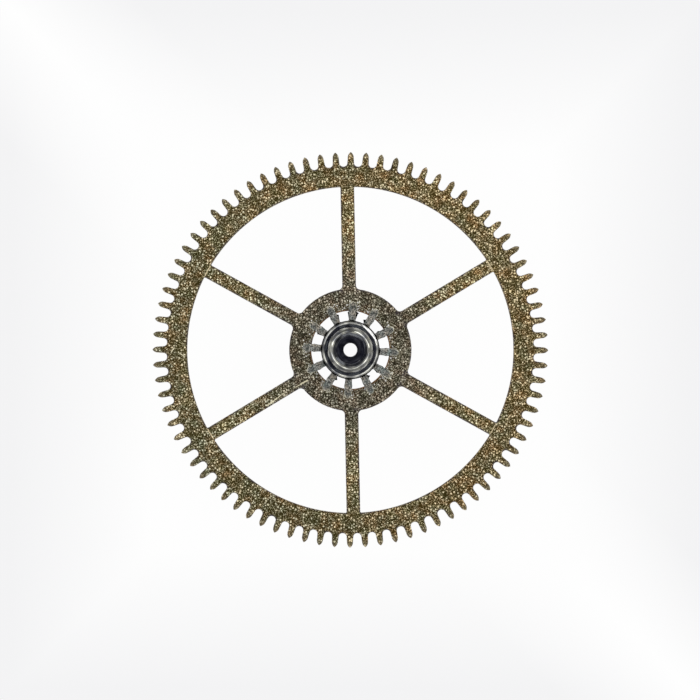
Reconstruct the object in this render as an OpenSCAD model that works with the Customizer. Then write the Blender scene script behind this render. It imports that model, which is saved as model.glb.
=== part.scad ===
// Centre wheel of a watch: a pierced brass wheel staked to a steel pinion, on a hollow arbor.
// Millimetres. The axis is Z, the origin is on it at half the rim's height, and the pinion is up.

/* [Wheel] */
// Number of teeth on the wheel
wheel_teeth = 80; // [60:1:100]
// Module of the wheel's teeth
wheel_module = 0.13; // [0.12:0.005:0.16]
// Height of a tooth above the pitch circle
tooth_addendum = 0.173; // [0.14:0.001:0.2]
// Depth of a tooth space below the pitch circle
tooth_dedendum = 0.221; // [0.19:0.001:0.25]
// Thickness of a tooth where its pointed head starts
tooth_w = 0.164; // [0.13:0.001:0.18]
// Thickness of a tooth at its foot
tooth_base_w = 0.181; // [0.15:0.001:0.2]
// Length of the straight flank above the pitch circle
tooth_flank = 0.024; // [0:0.001:0.05]
// Width of the rim, from the bottom of the teeth to its inner edge
rim_w = 0.549; // [0.35:0.001:0.8]
// Height of the rim
rim_h = 0.22; // [0.16:0.01:0.3]
// Depth by which the arms and the hub lie below the rim's upper face
web_recess = 0.015; // [0.005:0.005:0.05]
// Number of arms
arm_count = 6; // [4:1:8]
// Width of an arm
arm_w = 0.372; // [0.25:0.001:0.6]
// Angle of the first arm from the +X axis, in degrees
arm_phase = 31.2; // [0:0.1:60]
// Radius of the corner between an arm and the hub
arm_fillet = 0.12; // [0.05:0.01:0.25]
// Radius of the corner between an arm and the rim
rim_fillet = 0.03; // [0.01:0.01:0.1]
// Outer radius of the hub
hub_r = 1.66; // [1.5:0.01:2]

/* [Pinion] */
// Number of leaves on the pinion
leaf_count = 12; // [11:1:14]
// Module of the pinion's leaves
pinion_module = 0.195; // [0.18:0.005:0.22]
// Height of a leaf above the pitch circle
leaf_addendum = 0.148; // [0.1:0.001:0.17]
// Depth of a leaf space below the pitch circle
leaf_dedendum = 0.38; // [0.3:0.001:0.4]
// Thickness of a leaf at the pitch circle
leaf_w = 0.218; // [0.18:0.001:0.24]
// Thickness of a leaf at its foot
leaf_base_w = 0.18; // [0.15:0.001:0.2]
// Radius of the corner at the foot of a leaf
leaf_fillet = 0.03; // [0.01:0.005:0.04]
// Length of the leaves above the hub
leaf_len = 1.3; // [0.8:0.05:2]
// Angle of the first leaf from the +X axis, in degrees
leaf_phase = 26.8; // [0:0.1:30]
// Chamfer turned on the tips at both ends of the leaves
leaf_chamfer = 0.03; // [0.01:0.005:0.06]
// Radius of the seat that the leaves are turned down to inside the hub
seat_r = 1.06; // [0.95:0.01:1.12]
// Reach of the staked leaf ends past the seat
stake_reach = 0.08; // [0.03:0.01:0.15]
// Thickness of the staked leaf ends below the hub
stake_h = 0.05; // [0.03:0.01:0.1]
// Height of the bare boss below the staked ends
boss_h = 0.14; // [0.05:0.01:0.4]
// Depth of the recess turned in the upper ends of the leaves round the collar
recess_h = 0.04; // [0.01:0.01:0.1]
// Gap between the collar and that recess
recess_gap = 0.035; // [0.01:0.005:0.05]

/* [Arbor] */
// Radius of the pressed seat at the pinion's lower end
core_r = 0.62; // [0.61:0.005:0.66]
// Growth of that radius up to the collar, so that the arbor wedges as it is driven in
core_taper = 0.02; // [0.005:0.005:0.04]
// Radial gap of the pressed and staked seats
press_gap = 0; // [0:0.001:0.003]
// Radius of the bore right through the arbor
bore_r = 0.1875; // [0.1:0.0025:0.25]
// Radius of the conical sink at the bore's upper mouth
sink_r = 0.367; // [0.3:0.001:0.38]
// Radius of the collar on top of the pinion
collar_r = 0.765; // [0.74:0.005:0.77]
// Height of the collar
collar_h = 0.145; // [0.1:0.005:0.25]
// Chamfer round the collar's upper edge
collar_chamfer = 0.056; // [0.02:0.001:0.07]
// Radius of the upper pivot
upper_pivot_r = 0.606; // [0.55:0.001:0.61]
// Length of the upper pivot
upper_pivot_len = 0.5; // [0.35:0.01:0.8]
// Rounding of the upper pivot's end
upper_pivot_round = 0.144; // [0.05:0.001:0.16]
// Radius of the lower pivot
lower_pivot_r = 0.6; // [0.56:0.005:0.61]
// Length of the lower pivot
lower_pivot_len = 0.95; // [0.5:0.05:1.4]
// Radius of the post that carries the cannon pinion
post_r = 0.44; // [0.4:0.005:0.48]
// Length of the post
post_len = 2.5; // [1.8:0.05:3.2]
// Rounding of the post's end
post_round = 0.09; // [0.03:0.01:0.1]
// Radius of the conical sink at the bore's lower mouth
post_sink_r = 0.28; // [0.26:0.005:0.29]
// Length of the groove that the cannon pinion snaps into
groove_w = 0.4; // [0.2:0.05:0.6]
// Depth of that groove
groove_h = 0.035; // [0.01:0.005:0.05]
// Distance of that groove's middle below the lower pivot
groove_drop = 1.1; // [0.9:0.05:1.2]
// Chamfer on the lower pivot's shoulder
shoulder_chamfer = 0.04; // [0.01:0.01:0.06]

/* [Hidden] */

$fn = 96;
// Straight steps in each curved stretch of a tooth
curve_steps = 3;
// Width of the flat left at the bottom of a fully rounded tooth space
root_land = 0.01;
// Overlap of solids that are joined, and reach of cuts past a face
eps = 0.05;

wheel_pitch_r = wheel_module * wheel_teeth / 2;
wheel_root_r = wheel_pitch_r - tooth_dedendum;
wheel_tip_r = wheel_pitch_r + tooth_addendum;
rim_inner_r = wheel_root_r - rim_w;
pinion_pitch_r = pinion_module * leaf_count / 2;
pinion_root_r = pinion_pitch_r - leaf_dedendum;
leaf_tip_r = pinion_pitch_r + leaf_addendum;
hub_hole_r = seat_r + press_gap;

// Heights along the axis: the underside of the wheel, then what lies above it and below it
wheel_bottom = -rim_h / 2;
web_top = rim_h / 2 - web_recess;
leaf_top = web_top + leaf_len;
stake_bottom = wheel_bottom - stake_h;
pinion_bottom = stake_bottom - boss_h;
collar_bottom = leaf_top - recess_h;
collar_top = collar_bottom + collar_h;
arbor_top = collar_top + upper_pivot_len;
lower_pivot_end = pinion_bottom - lower_pivot_len;
arbor_bottom = lower_pivot_end - post_len;
groove_z = lower_pivot_end - groove_drop;

// Radius of the pressed seat at height z
function seat_taper(z) =
    core_r + core_taper * (z - pinion_bottom) / (collar_bottom - pinion_bottom);

// Points on an arc round centre, from angle a0 to angle a1
function arc(centre, r, a0, a1, steps) =
    [for (i = [0:steps]) let (a = a0 + (a1 - a0) * i / steps) centre + r * [cos(a), sin(a)]];

function reversed(points) = [for (i = [len(points) - 1:-1:0]) points[i]];
function mirrored(points) = [for (p = reversed(points)) [p.x, -p.y]];
function turned(points, a) =
    [for (p = points) [p.x * cos(a) - p.y * sin(a), p.x * sin(a) + p.y * cos(a)]];

// Largest radius at the foot of a tooth: with its neighbour's it fills the space but for the flat
function full_round(count, root_r, base_w) =
    (root_r * sin(180 / count) - (base_w + root_land) / 2) / (1 - sin(180 / count));

// Half of a tooth that points along +X: its head, an arc from the tip to the shoulder,
// then the flank, and the round that leads from the flank into the root circle
function half_tooth(root_r, base_w, shoulder_r, shoulder_w, tip_r, round_r) =
    let (
        head = tip_r - shoulder_r,
        half_w = shoulder_w / 2,
        head_r = (head * head + half_w * half_w) / (2 * half_w),
        head_a = atan2(head, head_r - half_w),
        foot_r = root_r + round_r,
        foot_y = base_w / 2 + round_r,
        foot_a = asin(foot_y / foot_r)
    )
    concat(
        arc([shoulder_r, half_w - head_r], head_r, 90 - head_a, 90, curve_steps),
        arc(foot_r * [cos(foot_a), sin(foot_a)], round_r, 270, 180 + foot_a, curve_steps)
    );

// Closed outline of count teeth, the first turned by phase. The tip is a point of both halves
function gear_outline(count, phase, half) =
    let (tooth = concat(mirrored(half), [for (i = [1:len(half) - 1]) half[i]]))
    [for (k = [0:count - 1]) each turned(tooth, phase + 360 * k / count)];

wheel_outline = gear_outline(wheel_teeth, 0, half_tooth(
    wheel_root_r, tooth_base_w, wheel_pitch_r + tooth_flank, tooth_w, wheel_tip_r,
    full_round(wheel_teeth, wheel_root_r, tooth_base_w)));

pinion_outline = gear_outline(leaf_count, leaf_phase, half_tooth(
    pinion_root_r, leaf_base_w, pinion_pitch_r, leaf_w, leaf_tip_r,
    min(leaf_fillet, full_round(leaf_count, pinion_root_r, leaf_base_w))));

// Fills the corner between an arm along +X and a circle, outside it (side 1) or inside it (side -1)
module arm_corner(circle_r, fillet_r, side) {
    centre_r = circle_r + side * fillet_r;
    centre_y = arm_w / 2 + fillet_r;
    centre_x = sqrt(centre_r * centre_r - centre_y * centre_y);
    touch = circle_r / centre_r * [centre_x, centre_y];
    difference() {
        polygon([[centre_x, 0], [centre_x, centre_y], touch, [touch.x - side * fillet_r, 0]]);
        translate([centre_x, centre_y]) circle(fillet_r);
    }
}

// One arm along +X, from the axis into the rim, with its four corners
module arm_shape() {
    translate([0, -arm_w / 2]) square([rim_inner_r + eps, arm_w]);
    for (flip = [0, 1]) mirror([0, flip]) {
        arm_corner(hub_r, arm_fillet, 1);
        arm_corner(rim_inner_r, rim_fillet, -1);
    }
}

// Hub and arms
module web() {
    linear_extrude(web_top - wheel_bottom) difference() {
        union() {
            circle(hub_r);
            for (k = [0:arm_count - 1]) rotate(arm_phase + 360 * k / arm_count) arm_shape();
        }
        circle(hub_hole_r);
    }
}

// Rim with its teeth
module rim() {
    linear_extrude(rim_h) difference() {
        polygon(wheel_outline);
        circle(rim_inner_r);
    }
}

module center_wheel() {
    color("darkgoldenrod") translate([0, 0, wheel_bottom]) {
        rim();
        web();
    }
}

// Turned blank of the pinion, which the leaves are cut from
module pinion_blank() {
    stake_r = seat_r + stake_reach;
    outer_r = leaf_tip_r + eps;
    chamfer_r = leaf_tip_r - leaf_chamfer;
    chamfer_h = outer_r - chamfer_r;
    rotate_extrude() polygon([
        [0, stake_bottom], [stake_r - stake_h, stake_bottom], [stake_r, wheel_bottom],
        [seat_r, wheel_bottom], [seat_r, web_top], [chamfer_r, web_top],
        [outer_r, web_top + chamfer_h], [outer_r, leaf_top - chamfer_h],
        [chamfer_r, leaf_top], [0, leaf_top]
    ]);
}

module center_pinion() {
    bore_z0 = pinion_bottom - eps;
    bore_z1 = leaf_top + eps;
    color("slategray") difference() {
        union() {
            intersection() {
                pinion_blank();
                translate([0, 0, stake_bottom - eps])
                    linear_extrude(leaf_top - stake_bottom + 2 * eps) polygon(pinion_outline);
            }
            translate([0, 0, pinion_bottom])
                cylinder(h = stake_bottom - pinion_bottom, r = pinion_root_r);
        }
        translate([0, 0, bore_z0])
            cylinder(
                h = bore_z1 - bore_z0,
                r1 = seat_taper(bore_z0) + press_gap,
                r2 = seat_taper(bore_z1) + press_gap
            );
        translate([0, 0, collar_bottom])
            cylinder(h = recess_h + eps, r = collar_r + recess_gap);
    }
}

// Outline of a shaft's end that is rounded towards side (1 up, -1 down)
function rounded_end(r, z, round_r, side) =
    let (centre = [r - round_r, z - side * round_r])
    arc(centre, round_r, 0, side * 90, 2 * curve_steps);

module hollow_arbor() {
    sink_h = sink_r - bore_r;
    post_sink_h = post_sink_r - bore_r;
    color("lightgray") rotate_extrude() polygon(concat(
        [
            [bore_r, arbor_top - sink_h], [bore_r, arbor_bottom + post_sink_h],
            [post_sink_r, arbor_bottom]
        ],
        reversed(rounded_end(post_r, arbor_bottom, post_round, -1)),
        [
            [post_r, groove_z - groove_w / 2], [post_r - groove_h, groove_z],
            [post_r, groove_z + groove_w / 2], [post_r, lower_pivot_end],
            [lower_pivot_r - shoulder_chamfer, lower_pivot_end],
            [lower_pivot_r, lower_pivot_end + shoulder_chamfer],
            [lower_pivot_r, pinion_bottom], [core_r, pinion_bottom],
            [seat_taper(collar_bottom), collar_bottom],
            [collar_r, collar_bottom], [collar_r, collar_top - collar_chamfer],
            [collar_r - collar_chamfer, collar_top], [upper_pivot_r, collar_top]
        ],
        rounded_end(upper_pivot_r, arbor_top, upper_pivot_round, 1),
        [[sink_r, arbor_top]]
    ));
}

center_wheel();
center_pinion();
hollow_arbor();
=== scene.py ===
# %% [markdown]
# # The centre wheel of a watch
# The centre wheel turns once an hour and carries the minute hand. It is three pieces of metal: a pierced
# brass wheel, a steel pinion with twelve leaves that is staked into the wheel's hub, and a polished hollow
# arbor that is pressed into the pinion. Each piece gets its own surface here, worked out with numpy on
# a grid, and takes the place of one plain CAD solid, which is hidden.
# The CAD model is loaded first. Its box is kept, so that the finished pieces can be measured against it.

# %% Load the CAD model as the frame
import math

import bmesh
import bpy
import numpy as np
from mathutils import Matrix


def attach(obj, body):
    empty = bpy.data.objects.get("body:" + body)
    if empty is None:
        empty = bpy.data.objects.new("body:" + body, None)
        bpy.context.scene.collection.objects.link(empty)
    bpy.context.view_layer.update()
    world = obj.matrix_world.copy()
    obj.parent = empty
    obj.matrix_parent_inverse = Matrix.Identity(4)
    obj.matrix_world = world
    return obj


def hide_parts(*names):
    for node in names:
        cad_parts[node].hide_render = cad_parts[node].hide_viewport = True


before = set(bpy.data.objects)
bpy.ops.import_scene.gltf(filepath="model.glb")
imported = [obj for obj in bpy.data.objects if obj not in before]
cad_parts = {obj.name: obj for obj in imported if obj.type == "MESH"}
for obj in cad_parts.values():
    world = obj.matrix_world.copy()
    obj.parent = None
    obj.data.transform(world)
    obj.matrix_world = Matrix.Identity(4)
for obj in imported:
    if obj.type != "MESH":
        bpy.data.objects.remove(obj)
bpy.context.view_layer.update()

print("CAD nodes:", sorted(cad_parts))

# %% [markdown]
# # Real sizes
# A watchmaker gives sizes in millimetres, so this script does too, and turns them into metres only when
# a mesh is made. The axis of the wheel is Z, the origin is on it at half the rim's height, and the leaves
# point up, towards the camera. A few radii on the arbor's polished end differ from the solid's by a
# hundredth of a millimetre or two, so that its reflections fall where the photograph shows them.

# %% Sizes of the wheel, in millimetres
MM = 0.001

TEETH = 80
PITCH_R = 5.2
ROOT_R = 4.979
TIP_R = 5.373
TOOTH_W = 0.164
TOOTH_BASE_W = 0.181
TOOTH_FLANK = 0.024
TOOTH_TIP_ROUND = 0.012
ROOT_LAND = 0.01

RIM_INNER_R = 4.43
RIM_BOTTOM = -0.11
RIM_TOP = 0.11
WEB_TOP = 0.095

ARMS = 6
ARM_W = 0.372
ARM_PHASE = 31.2
ARM_FILLET = 0.12
RIM_FILLET = 0.03
HUB_R = 1.66
HUB_HOLE_R = 1.06
print("module of the wheel:", round(2 * PITCH_R / TEETH, 4), "mm")

# %% Sizes of the pinion and the arbor, in millimetres
LEAVES = 12
LEAF_PHASE = 26.8
LEAF_PITCH_R = 1.17
LEAF_ROOT_R = 0.79
LEAF_TIP_R = 1.318
LEAF_W = 0.218
LEAF_BASE_W = 0.18
LEAF_FILLET = 0.03
LEAF_TIP_ROUND = 0.05
LEAF_TOP = 1.395
LEAF_CHAMFER = 0.03
RECESS_R = 0.8
RECESS_Z = 1.355
SEAT_LOW_R = 0.62
SEAT_HIGH_R = 0.64
STAKE_R = 1.14
STAKE_LOW_R = 1.09
STAKE_BOTTOM = -0.16
PINION_BOTTOM = -0.3

BORE_R = 0.1875
SINK_R = 0.375
PIVOT_R = 0.6
PIVOT_ROUND = 0.16
COLLAR_R = 0.765
COLLAR_ROUND = 0.075
COLLAR_TOP = 1.5
ARBOR_TOP = 2.0
LOWER_PIVOT_R = 0.6
LOWER_PIVOT_END = -1.25
SHOULDER_CHAMFER = 0.04
POST_R = 0.44
POST_ROUND = 0.09
POST_SINK_R = 0.28
GROOVE_W = 0.4
GROOVE_H = 0.035
GROOVE_Z = -2.35
ARBOR_BOTTOM = -3.75
print("module of the pinion:", round(2 * LEAF_PITCH_R / LEAVES, 4), "mm")
print("length of the arbor:", ARBOR_TOP - ARBOR_BOTTOM, "mm")

# %% [markdown]
# # From a grid of points to a mesh
# Every shell in this file is a grid: its columns go round the axis and its rows go round the
# cross-section. When both ways close on themselves, the surface is a ring with no seam and no pole, and
# it is watertight. Rows may lie on top of each other where the section has a sharp step, so doubled
# points are welded and the faces that this flattens are dropped. Where shells are united, or rows meet at
# a glancing angle, edges of almost no length can be left, and a last step collapses those.

# %% Grids, welding and new pieces
def closed_grid(rows, columns):
    """Quads of a grid that closes both ways: corners (i, j), (i, j+1), (i+1, j+1) and (i+1, j)."""
    i, j = np.meshgrid(np.arange(rows), np.arange(columns), indexing="ij")
    up, along = (i + 1) % rows, (j + 1) % columns
    corners = [i * columns + j, i * columns + along, up * columns + along, up * columns + j]
    return np.stack(corners, axis=-1).reshape(-1, 4)


def weld(points, quads, reach=1e-6):
    """Give points that agree to within reach one number, cut quads into triangles, drop the flat ones."""
    keys = np.round(points / reach).astype(np.int64)
    _, first, number = np.unique(keys, axis=0, return_index=True, return_inverse=True)
    triangles = number.reshape(-1)[np.concatenate([quads[:, [0, 1, 2]], quads[:, [0, 2, 3]]])]
    a, b, c = triangles.T
    return first, triangles[(a != b) & (b != c) & (c != a)]


def put_in_scene(name, data):
    """A new object in the scene that holds this mesh, lamp or camera."""
    made = bpy.data.objects.new(name, data)
    bpy.context.scene.collection.objects.link(made)
    return made


def set_values(mesh, **values):
    """Store each array of values, one for every point, under its name on the mesh."""
    for key, value in values.items():
        mesh.attributes.new(key, "FLOAT", "POINT").data.foreach_set("value", value.astype(np.float32))


def new_piece(name, points, faces, **values):
    """A mesh object from points in millimetres, lists of faces and arrays of values."""
    mesh = bpy.data.meshes.new(name)
    mesh.from_pydata((points.reshape(-1, 3) * MM).tolist(), [], [f for some in faces for f in some])
    set_values(mesh, **values)
    return put_in_scene(name, mesh)


def clean(piece, reach=1e-8):
    """Collapse edges shorter than reach, in metres, and the flat faces on them. The surface stays closed."""
    shape = bmesh.new()
    shape.from_mesh(piece.data)
    bmesh.ops.dissolve_degenerate(shape, dist=reach, edges=shape.edges[:])
    shape.to_mesh(piece.data)
    shape.free()


def shade(piece, sharp_angle):
    """Smooth shading, with an edge kept sharp where two faces meet at more than sharp_angle degrees."""
    piece.data.shade_smooth()
    piece.data.set_sharp_from_angle(angle=math.radians(sharp_angle))
    box = [round(v / MM, 3) for v in piece.dimensions]
    print(piece.name, "has", len(piece.data.vertices), "points and measures", box, "mm")


# %% [markdown]
# # The outline of a tooth
# A tooth that points along +X is mirrored in the X axis, so one half is enough. From the tip outwards it
# is a small round, then the arc of the pointed head, a straight flank, and the hollow round that leads
# into the space beside it. The outward normal is kept with every point, because the bevel on the tooth's
# edge and the darker band beside it are both drawn a little way inside the outline.

# %% One half of a tooth
def directions(a):
    """(cos a, sin a) for each angle."""
    return np.stack([np.cos(a), np.sin(a)], axis=-1)


def arc(centre, radius, start, end, count):
    """Points centre + radius (cos a, sin a) and the directions (cos a, sin a), for angles in degrees."""
    out = directions(np.radians(np.linspace(start, end, count)))
    return np.asarray(centre) + radius * out, out


def half_tooth(root_r, base_w, shoulder_r, shoulder_w, tip_r, tip_round, foot_round, counts):
    """Points and outward normals from the tip to the root circle.

    The head is an arc of radius R = (h² + w²) / 2w about (shoulder, w - R), where h is the head's height
    and w its half thickness. The tip's round, of radius t, touches it: its centre is on the axis,
    R - t away from the head's centre. The foot's round, of radius f, is centred f + root radius from the
    axis and f beside the flank.
    """
    w = shoulder_w / 2
    h = tip_r - shoulder_r
    big = (h * h + w * w) / (2 * w)
    tip_x = shoulder_r + math.sqrt((big - tip_round) ** 2 - (big - w) ** 2)
    meet = math.degrees(math.asin((big - w) / (big - tip_round)))
    foot_y = base_w / 2 + foot_round
    foot_x = math.sqrt((root_r + foot_round) ** 2 - foot_y**2)
    foot_end = 180 + math.degrees(math.atan2(foot_y, foot_x))
    tip = arc((tip_x, 0), tip_round, 0, meet, counts[0])
    head = arc((shoulder_r, w - big), big, meet, 90, counts[1])
    x = np.linspace(shoulder_r, foot_x, counts[2] + 2)[1:-1]
    y = np.interp(x, [foot_x, shoulder_r], [base_w / 2, w])
    flank = np.stack([x, y], axis=-1), np.tile([0.0, 1.0], (len(x), 1))
    foot, inward = arc((foot_x, foot_y), foot_round, 270, foot_end, counts[3])
    parts = [tip, (head[0][1:], head[1][1:]), flank, (foot, -inward)]
    return np.concatenate([p for p, _ in parts]), np.concatenate([n for _, n in parts])


# %% [markdown]
# # A whole toothed outline
# The half tooth is mirrored and then turned round the axis once for every tooth. How far the outline may
# be drawn in is limited near a tooth's tip, where its two sides would otherwise cross: a point at height
# y above the tooth's middle line, whose normal rises by n, reaches that line after y / n. It may go four
# fifths of that way.

# %% Repeat the half tooth round the axis
INSET_SHARE = 0.8


def toothed_outline(count, phase, half, land, tip_round):
    """Outline, normals and largest inset of every column, going round against the clock.

    Points are turned by phase + 360 k / count degrees. The land is spread over the bottom of each space
    with points on the root circle.
    """
    points, normals = half
    root_r = np.hypot(*points[-1])
    edge = math.atan2(points[-1, 1], points[-1, 0])
    gap = math.pi / count - edge
    ring = directions(edge + gap * np.linspace(0, 1, land + 2)[1:])
    points = np.concatenate([points, root_r * ring])
    normals = np.concatenate([normals, ring])
    rise = np.maximum(normals[:, 1], 1e-9)
    limit = np.where(normals[:, 1] > 1e-6, INSET_SHARE * points[:, 1] / rise, 1.0)
    limit[0] = INSET_SHARE * tip_round
    flip = np.array([1.0, -1.0])
    tooth = np.concatenate([points[:0:-1] * flip, points[:-1]])
    normal = np.concatenate([normals[:0:-1] * flip, normals[:-1]])
    limit = np.concatenate([limit[:0:-1], limit[:-1]])
    turn = np.radians(phase) + 2 * np.pi * np.arange(count) / count
    spin = np.array([[np.cos(turn), np.sin(turn)], [-np.sin(turn), np.cos(turn)]])
    whole = np.einsum("pc,cdk->kpd", tooth, spin).reshape(-1, 2)
    facing = np.einsum("pc,cdk->kpd", normal, spin).reshape(-1, 2)
    return whole, facing, np.tile(limit, count)


half_step = math.radians(180 / TEETH)
full_round = (ROOT_R * math.sin(half_step) - (TOOTH_BASE_W + ROOT_LAND) / 2) / (1 - math.sin(half_step))
tooth_half = half_tooth(
    ROOT_R, TOOTH_BASE_W, PITCH_R + TOOTH_FLANK, TOOTH_W, TIP_R, TOOTH_TIP_ROUND, full_round, (3, 6, 1, 6)
)
rim_outline, rim_normal, rim_limit = toothed_outline(TEETH, 0, tooth_half, 0, TOOTH_TIP_ROUND)
print("rim outline:", len(rim_outline), "points, round at the foot", round(full_round, 4), "mm")

# %% [markdown]
# # The rim and the hub
# Rim and hub are flat rings with softly broken edges. The section of an edge is a list of insets from the
# wall and heights: a quarter circle at the underside, the wall, and a quarter circle at the top, with one
# more row on each flat face so that smooth shading leaves the face flat.

# %% Section of an edge, and rings with that section
BEVEL = 0.006
HOLD = 0.0015
BAND = 0.05


def edge_section(bottom, top):
    """Insets and heights from the underside over the wall to the upper face."""
    a = np.radians([0, 45, 90])
    low = BEVEL * (1 - np.sin(a)), bottom + BEVEL * (1 - np.cos(a))
    high = BEVEL * (1 - np.cos(a)), top - BEVEL * (1 - np.sin(a))
    inset = np.concatenate([[BAND, BEVEL + HOLD], low[0], high[0], [BEVEL + HOLD, BAND]])
    z = np.concatenate([[bottom, bottom], low[1], high[1], [top, top]])
    return inset, z


def flat_ring(name, outline, normal, limit, inner_r, bottom, top):
    """A ring between an outline and a circle.

    Outer side: point = outline - min(inset, limit) * normal. Inner side: point = (inner_r + inset) times
    the direction of that column, where the columns are spread evenly round the circle.
    """
    inset, z = edge_section(bottom, top)
    columns = len(outline)
    start = math.atan2(outline[0, 1], outline[0, 0])
    spoke = directions(start + 2 * np.pi * np.arange(columns) / columns)
    outer = outline - np.minimum(inset[:, None], limit)[..., None] * normal
    inner = (inner_r + inset[::-1, None, None]) * spoke
    plan = np.concatenate([outer, inner])
    height = np.concatenate([z, z[::-1]])
    grid = np.concatenate([plan, np.broadcast_to(height[:, None, None], plan.shape[:2] + (1,))], axis=-1)
    quads = closed_grid(len(height), columns)
    return new_piece(name, grid, [quads.tolist()])


hub_outline, hub_normal = arc((0, 0), HUB_R, 0, 360, 361)
rim = flat_ring("rim", rim_outline, rim_normal, rim_limit, RIM_INNER_R, RIM_BOTTOM, RIM_TOP)
hub = flat_ring("hub", hub_outline[:-1], hub_normal[:-1], np.ones(360), HUB_HOLE_R, RIM_BOTTOM, WEB_TOP)

# %% [markdown]
# # The arms
# An arm is a straight bar that widens in a small round where it meets the hub and the rim, as a punch or
# a milling cutter leaves it. It is one section carried along the arm's axis, with a half width that
# depends on the place. Both ends lie buried in the hub and in the rim, where the solids are then united.

# %% Half width of an arm along its axis
ARM_START = 1.52
ARM_START_HALF = 0.2
ARM_BURY = 0.03


def corner_round(circle_r, fillet, side, count):
    """Round between an arm's edge and a circle, outside the circle (side 1) or inside it (side -1).

    Its centre is circle_r + side * fillet from the axis and fillet beside the edge.
    """
    reach = circle_r + side * fillet
    y = ARM_W / 2 + fillet
    x = math.sqrt(reach * reach - y * y)
    toward = math.degrees(math.atan2(-side * y, -side * x))
    return arc((x, y), fillet, 270 if side > 0 else -90, toward % 360 if side > 0 else toward, count)[0]


hub_corner = corner_round(HUB_R, ARM_FILLET, 1, 9)[::-1]
rim_corner = corner_round(RIM_INNER_R, RIM_FILLET, -1, 7)
arm_edge = np.concatenate([
    [[ARM_START, ARM_START_HALF]], hub_corner, rim_corner,
    [[RIM_INNER_R + ARM_BURY, rim_corner[-1, 1]]],
])
print("an arm runs from", arm_edge[0].round(3), "to", arm_edge[-1].round(3), "as distance and half width")

# %% Carry the section along each arm
def arm(number):
    """Closed bar: (x, side * (half width - inset), z), turned to the arm's angle, with flat ends.

    Side is 1 and -1 on the two edges, and 0 for one more row along the middle of each flat face.
    """
    inset, z = edge_section(RIM_BOTTOM, WEB_TOP)
    side = np.concatenate([np.ones(len(z)), [0], -np.ones(len(z)), [0]])
    inset = np.concatenate([inset, [0], inset[::-1], [0]])
    z = np.concatenate([z, z[-1:], z[::-1], z[:1]])
    x, half = arm_edge[:, :1], arm_edge[:, 1:]
    y = side * (half - inset)
    turn = math.radians(ARM_PHASE + 360 * number / ARMS)
    plan = [x * math.cos(turn) - y * math.sin(turn), x * math.sin(turn) + y * math.cos(turn)]
    grid = np.stack(plan + [z + 0 * y], axis=-1)
    rows, columns = y.shape
    last = (rows - 1) * columns
    ends = [list(range(columns))[::-1], list(range(last, last + columns))]
    return new_piece(f"arm_{number + 1}", grid, [closed_grid(rows, columns)[:last].tolist(), ends])


arms = [arm(k) for k in range(ARMS)]

# %% [markdown]
# # One piece of brass
# The real wheel is stamped from one sheet, so the rim, the hub and the six arms are united into one
# closed surface. The boolean modifier does that exactly when every part is closed, and the parts that it
# used up are deleted.

# %% Unite rim, hub and arms
def unite(name, first, others):
    """One closed mesh from overlapping closed meshes. The originals are removed."""
    for other in others:
        cut = first.modifiers.new(other.name, "BOOLEAN")
        cut.operation = "UNION"
        cut.solver = "MANIFOLD"
        cut.object = other
    bpy.context.view_layer.update()
    whole = first.evaluated_get(bpy.context.evaluated_depsgraph_get())
    mesh = bpy.data.meshes.new_from_object(whole)
    for used in [first] + others:
        bpy.data.meshes.remove(used.data)
    mesh.name = name
    return put_in_scene(name, mesh)


wheel = unite("wheel_brass", rim, arms + [hub])
clean(wheel)
shade(wheel, 50)

# %% [markdown]
# # How near the edge is
# On the real wheel the frosted surface turns darker in a narrow band along every edge. The material can
# only paint that band if each point of the mesh says how near an edge it is. Arms and teeth repeat, so
# every point is first folded into one half of one arm, or of one tooth, and is then measured against that
# half's outline alone. On a tooth the band narrows towards the tip. The triangles there are long, and a
# low value at the very tip would run down the tooth as a dark streak.

# %% Distance from the nearest edge
def fold(points, count, phase):
    """Points r cos a, r sin a, with a the angle from the nearest of count axes, made positive."""
    step = 2 * np.pi / count
    a = np.arctan2(points[:, 1], points[:, 0]) - math.radians(phase)
    a = np.abs((a + step / 2) % step - step / 2)
    return np.hypot(points[:, :1], points[:, 1:2]) * directions(a)


def distance_to_path(points, path):
    """Smallest distance |p - a - t (b - a)| to the path's segments ab, with t held between 0 and 1."""
    a, ab = path[:-1], np.diff(path, axis=0)
    ap = points[:, None] - a
    t = np.clip((ap * ab).sum(-1) / (ab * ab).sum(-1), 0, 1)
    return np.linalg.norm(ap - t[..., None] * ab, axis=-1).min(axis=1)


WORN = 0.04
TOOTH_BAND_SHARE = 0.6
THINNEST_BAND = 1e-6
half_sector = 180 / ARMS
hub_touch = math.degrees(math.atan2(hub_corner[0, 1], hub_corner[0, 0]))
rim_touch = math.degrees(math.atan2(rim_corner[-1, 1], rim_corner[-1, 0]))
window_half = np.concatenate([
    arc((0, 0), HUB_R, half_sector, hub_touch, 24)[0], hub_corner, rim_corner,
    arc((0, 0), RIM_INNER_R, rim_touch, half_sector, 48)[0],
])
points = np.empty((len(wheel.data.vertices), 3), np.float32)
wheel.data.vertices.foreach_get("co", points.ravel())
points = points.astype(float) / MM
radius = np.hypot(points[:, 0], points[:, 1])
in_tooth = fold(points, TEETH, 0)
to_window = distance_to_path(fold(points, ARMS, ARM_PHASE), window_half)
to_tooth = distance_to_path(in_tooth, tooth_half[0])
half_width = np.interp(in_tooth[:, 0], *tooth_half[0][::-1].T, left=1.0)
tooth_band = np.clip(TOOTH_BAND_SHARE * half_width, THINNEST_BAND, BAND)
off_hole = radius - HUB_HOLE_R
inside = np.minimum.reduce([to_window / BAND, to_tooth / tooth_band, np.abs(off_hole) / BAND])
set_values(wheel.data, edge=np.clip(inside, 0, 1), hub_hole=np.clip(1 - off_hole / WORN, 0, 1))
print("points on an edge:", int((inside < 0.02).sum()), "of", len(points))

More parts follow.
